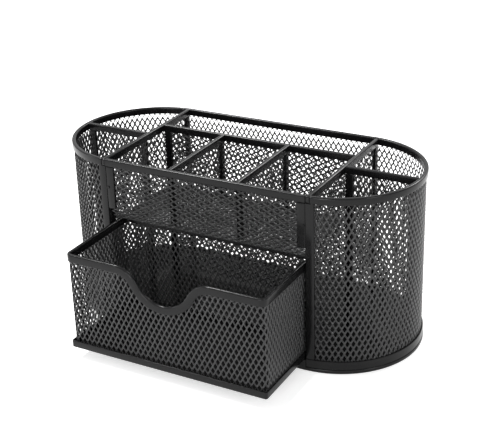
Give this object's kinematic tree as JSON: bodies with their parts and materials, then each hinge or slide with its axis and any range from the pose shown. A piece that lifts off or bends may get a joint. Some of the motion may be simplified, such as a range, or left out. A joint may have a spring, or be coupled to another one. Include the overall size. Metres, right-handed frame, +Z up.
{
  "type": "desk organizer with drawer",
  "caption": "Oval desk organizer of black mesh: open compartments for pens and papers, a raised tray for small things and a scoop-fronted drawer underneath.",
  "frame": {"origin": "on the surface it stands on, under the middle of the fixed body", "axes": "+X to the right along the length, +Y to the rear, +Z up; the drawer opens along -Y"},
  "size_m": [0.225, 0.1461, 0.1078],
  "materials": {
    "black_steel": "satin",
    "black_mesh": "satin"
  },
  "bodies": {
    "organizer": {"base_band_left_end": "black_steel", "base_band_rear": "black_steel", "base_band_right_end": "black_steel", "base_floor": "black_steel", "bay_sill": "black_steel", "left_cross_frame": "black_steel", "left_cross_mesh": "black_mesh", "left_end_divider_frame": "black_steel", "left_end_divider_mesh": "black_mesh", "left_end_mesh": "black_mesh", "left_end_rim": "black_steel", "left_post": "black_steel", "left_short_divider_frame": "black_steel", "left_short_divider_mesh": "black_mesh", "left_spot_weld": "black_steel", "middle_divider_frame": "black_steel", "middle_divider_mesh": "black_mesh", "rear_mesh": "black_mesh", "rear_rim": "black_steel", "right_cross_frame": "black_steel", "right_cross_mesh": "black_mesh", "right_end_divider_frame": "black_steel", "right_end_divider_mesh": "black_mesh", "right_end_mesh": "black_mesh", "right_end_rim": "black_steel", "right_post": "black_steel", "right_short_divider_frame": "black_steel", "right_short_divider_mesh": "black_mesh", "right_spot_weld": "black_steel", "tray_left_strip": "black_steel", "tray_mesh": "black_mesh", "tray_right_strip": "black_steel", "tray_rim": "black_steel"},
    "drawer": {"drawer_front_mesh": "black_mesh", "drawer_front_rim": "black_steel", "drawer_left_mesh": "black_mesh", "drawer_left_rim": "black_steel", "drawer_pan": "black_steel", "drawer_rear_mesh": "black_mesh", "drawer_rear_rim": "black_steel", "drawer_right_mesh": "black_mesh", "drawer_right_rim": "black_steel"}
  },
  "joints": [
    {"name": "drawer_slide", "type": "slide", "parent": "organizer", "child": "drawer", "axis": [0, -1, 0], "range_m": [-0.0475, 0.0125]}
  ]
}
